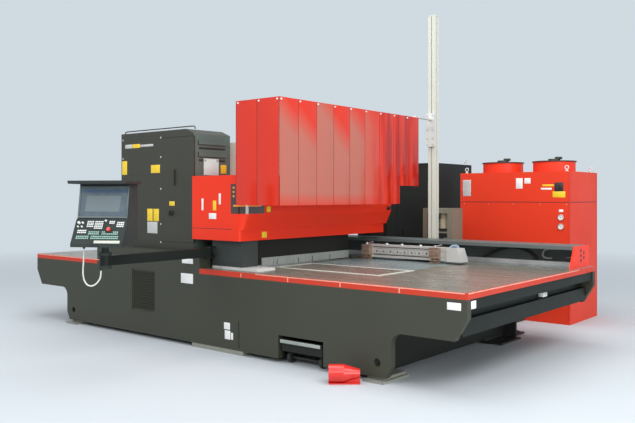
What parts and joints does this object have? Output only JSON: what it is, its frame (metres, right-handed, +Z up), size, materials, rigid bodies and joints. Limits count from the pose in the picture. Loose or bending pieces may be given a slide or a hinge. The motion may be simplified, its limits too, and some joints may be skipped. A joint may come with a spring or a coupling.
{
  "type": "sheet laser cutting machine",
  "caption": "Flat-bed sheet laser cutter with a red bridge over the table, hanging strip guard, sheet carriage, swing-arm console, laser cabinet, control cabinet and chiller.",
  "frame": {"origin": "on the floor at the centre of the four corner anchor holes of the bed", "axes": "+X along the operator's side of the bed, towards the open end of the table; +Y away from the operator, towards the cabinets behind the bed; +Z up"},
  "size_m": [5.9, 5.9329, 3.61],
  "materials": {
    "red_paint": "satin",
    "olive_paint": "satin",
    "table_steel": "worn",
    "aluminium_part": "satin",
    "cream_paint": "satin",
    "dark_plastic": "matte",
    "console_paint": "satin",
    "screen_glass": "gloss",
    "strip_plastic": "gloss",
    "signal_plastic": "gloss",
    "cord_rubber": "matte"
  },
  "bodies": {
    "machine": {"front_panel": "olive_paint", "rear_panel": "olive_paint", "vent_louvre": "olive_paint", "cross_walls": "olive_paint", "end_frames": "olive_paint", "foot_plates": "table_steel", "table_right": "table_steel", "table_left": "table_steel", "edge_strips": "red_paint", "chute_frame": "table_steel", "front_housing": "olive_paint", "laser_cabinet": "olive_paint", "laser_tubes": "aluminium_part", "beam_duct": "cream_paint", "front_column": "olive_paint", "rear_column": "olive_paint", "bridge_beam": "olive_paint", "cover_upper": "red_paint", "cover_skirt": "red_paint", "lower_guard": "olive_paint", "sheet_skirt": "table_steel", "guide_rails": "table_steel", "guard_frame": "aluminium_part", "guard_strips": "strip_plastic", "mast_post": "cream_paint", "mast_bracket": "aluminium_part", "supply_stand": "cream_paint", "supply_filters": "cream_paint", "rail_cover": "olive_paint", "rail_ends": "red_paint", "arm_bracket": "console_paint", "foot_hood": "red_paint", "control_cabinet": "olive_paint", "chiller_body": "red_paint", "floor_ducts": "dark_plastic"},
    "chute": {"chute_door": "table_steel"},
    "cart": {"cart_tray": "console_paint"},
    "cart_front_wheels": {"cart_front_axle": "dark_plastic"},
    "cart_rear_wheels": {"cart_rear_axle": "dark_plastic"},
    "laser_cabinet_door": {"laser_door": "olive_paint"},
    "laser_door_switch": {"laser_switch": "dark_plastic"},
    "cross_saddle": {"cross_carriage": "aluminium_part"},
    "head": {"cutting_head": "aluminium_part"},
    "sheet_carriage": {"carriage_beam": "aluminium_part", "carriage_saddle": "aluminium_part", "clamp_bodies": "table_steel"},
    "jaw_left": {"clamp_jaw_left": "table_steel"},
    "jaw_right": {"clamp_jaw_right": "table_steel"},
    "lever_left": {"clamp_lever_left": "aluminium_part"},
    "lever_right": {"clamp_lever_right": "aluminium_part"},
    "swing_arm": {"console_arm": "console_paint"},
    "console": {"console_body": "dark_plastic", "console_screen": "screen_glass", "console_cord": "cord_rubber"},
    "stop": {"stop_button": "signal_plastic"},
    "pedal": {"foot_pedal": "dark_plastic"},
    "control_cabinet_door": {"control_door": "olive_paint"},
    "fan_left": {"chiller_fan_left": "dark_plastic"},
    "fan_right": {"chiller_fan_right": "dark_plastic"},
    "chiller_dial": {"chiller_switch": "dark_plastic"}
  },
  "joints": [
    {"name": "carriage_travel", "type": "slide", "parent": "machine", "child": "sheet_carriage", "axis": [1, 0, 0], "range_m": [-2.26, 0.24]},
    {"name": "jaw_left_clamp", "type": "slide", "parent": "sheet_carriage", "child": "jaw_left", "axis": [0, 0, 1], "range_m": [-0.012, 0]},
    {"name": "jaw_right_clamp", "type": "slide", "parent": "sheet_carriage", "child": "jaw_right", "axis": [0, 0, 1], "range_m": [-0.012, 0]},
    {"name": "lever_left_turn", "type": "hinge", "parent": "sheet_carriage", "child": "lever_left", "pos_m": [0.648, 0.615, 0.95], "axis": [0, 0, 1], "range_deg": [-60, 60]},
    {"name": "lever_right_turn", "type": "hinge", "parent": "sheet_carriage", "child": "lever_right", "pos_m": [1.528, 0.615, 0.95], "axis": [0, 0, 1], "range_deg": [-60, 60]},
    {"name": "cross_travel", "type": "slide", "parent": "machine", "child": "cross_saddle", "axis": [0, 1, 0], "range_m": [-0.75, 0.66]},
    {"name": "head_lift", "type": "slide", "parent": "cross_saddle", "child": "head", "axis": [0, 0, 1], "range_m": [-0.18, 0]},
    {"name": "arm_swing", "type": "hinge", "parent": "machine", "child": "swing_arm", "pos_m": [0.09, -1.285, 0.93], "axis": [0, 0, 1], "range_deg": [0, 45]},
    {"name": "console_swivel", "type": "hinge", "parent": "swing_arm", "child": "console", "pos_m": [0.09, -2.46, 1], "axis": [0, 0, 1], "range_deg": [-60, 60]},
    {"name": "stop_press", "type": "slide", "parent": "console", "child": "stop", "axis": [0.4389, -0.7601, 0.4791], "range_m": [-0.006, 0], "stiffness_N_per_m": 400, "springref_m": 0.004},
    {"name": "pedal_press", "type": "hinge", "parent": "machine", "child": "pedal", "pos_m": [1.94416, -1.54939, 0.046], "axis": [0.6361, -0.7716, 0], "range_deg": [0, 10], "stiffness_Nm_per_rad": 8, "springref_deg": -5.73},
    {"name": "fan_left_spin", "type": "hinge", "parent": "machine", "child": "fan_left", "pos_m": [1.3415, 2.643, 1.77], "axis": [0, 0, 1], "continuous": true},
    {"name": "fan_right_spin", "type": "hinge", "parent": "machine", "child": "fan_right", "pos_m": [2.0135, 2.643, 1.77], "axis": [0, 0, 1], "continuous": true},
    {"name": "chiller_dial_turn", "type": "hinge", "parent": "machine", "child": "chiller_dial", "pos_m": [2.25, 2.19, 1.59], "axis": [0, 1, 0], "range_deg": [0, 90]},
    {"name": "laser_door_swing", "type": "hinge", "parent": "machine", "child": "laser_cabinet_door", "pos_m": [-0.16, -1.25, 1.5], "axis": [0, 0, 1], "range_deg": [0, 100]},
    {"name": "laser_dial_turn", "type": "hinge", "parent": "laser_cabinet_door", "child": "laser_door_switch", "pos_m": [-0.505, -1.25, 1.309], "axis": [0, 1, 0], "range_deg": [0, 90]},
    {"name": "control_door_swing", "type": "hinge", "parent": "machine", "child": "control_cabinet_door", "pos_m": [0.5784, 2.2, 1], "axis": [0, 0, 1], "range_deg": [0, 100]},
    {"name": "cart_pull", "type": "slide", "parent": "machine", "child": "cart", "axis": [0, -1, 0], "range_m": [0, 0.6]},
    {"name": "cart_front_roll", "type": "hinge", "parent": "cart", "child": "cart_front_wheels", "pos_m": [1.3425, -1.25, 0.05], "axis": [1, 0, 0], "continuous": true},
    {"name": "cart_rear_roll", "type": "hinge", "parent": "cart", "child": "cart_rear_wheels", "pos_m": [1.3425, -0.73, 0.05], "axis": [1, 0, 0], "continuous": true},
    {"name": "chute_drop", "type": "hinge", "parent": "machine", "child": "chute", "pos_m": [1.15, -0.265, 0.761], "axis": [1, 0, 0], "range_deg": [0, 22]}
  ],
  "couplings": [
    {"joint": "cart_front_roll", "follows": "cart_pull", "rad_per_m": 20},
    {"joint": "cart_rear_roll", "follows": "cart_pull", "rad_per_m": 20}
  ]
}
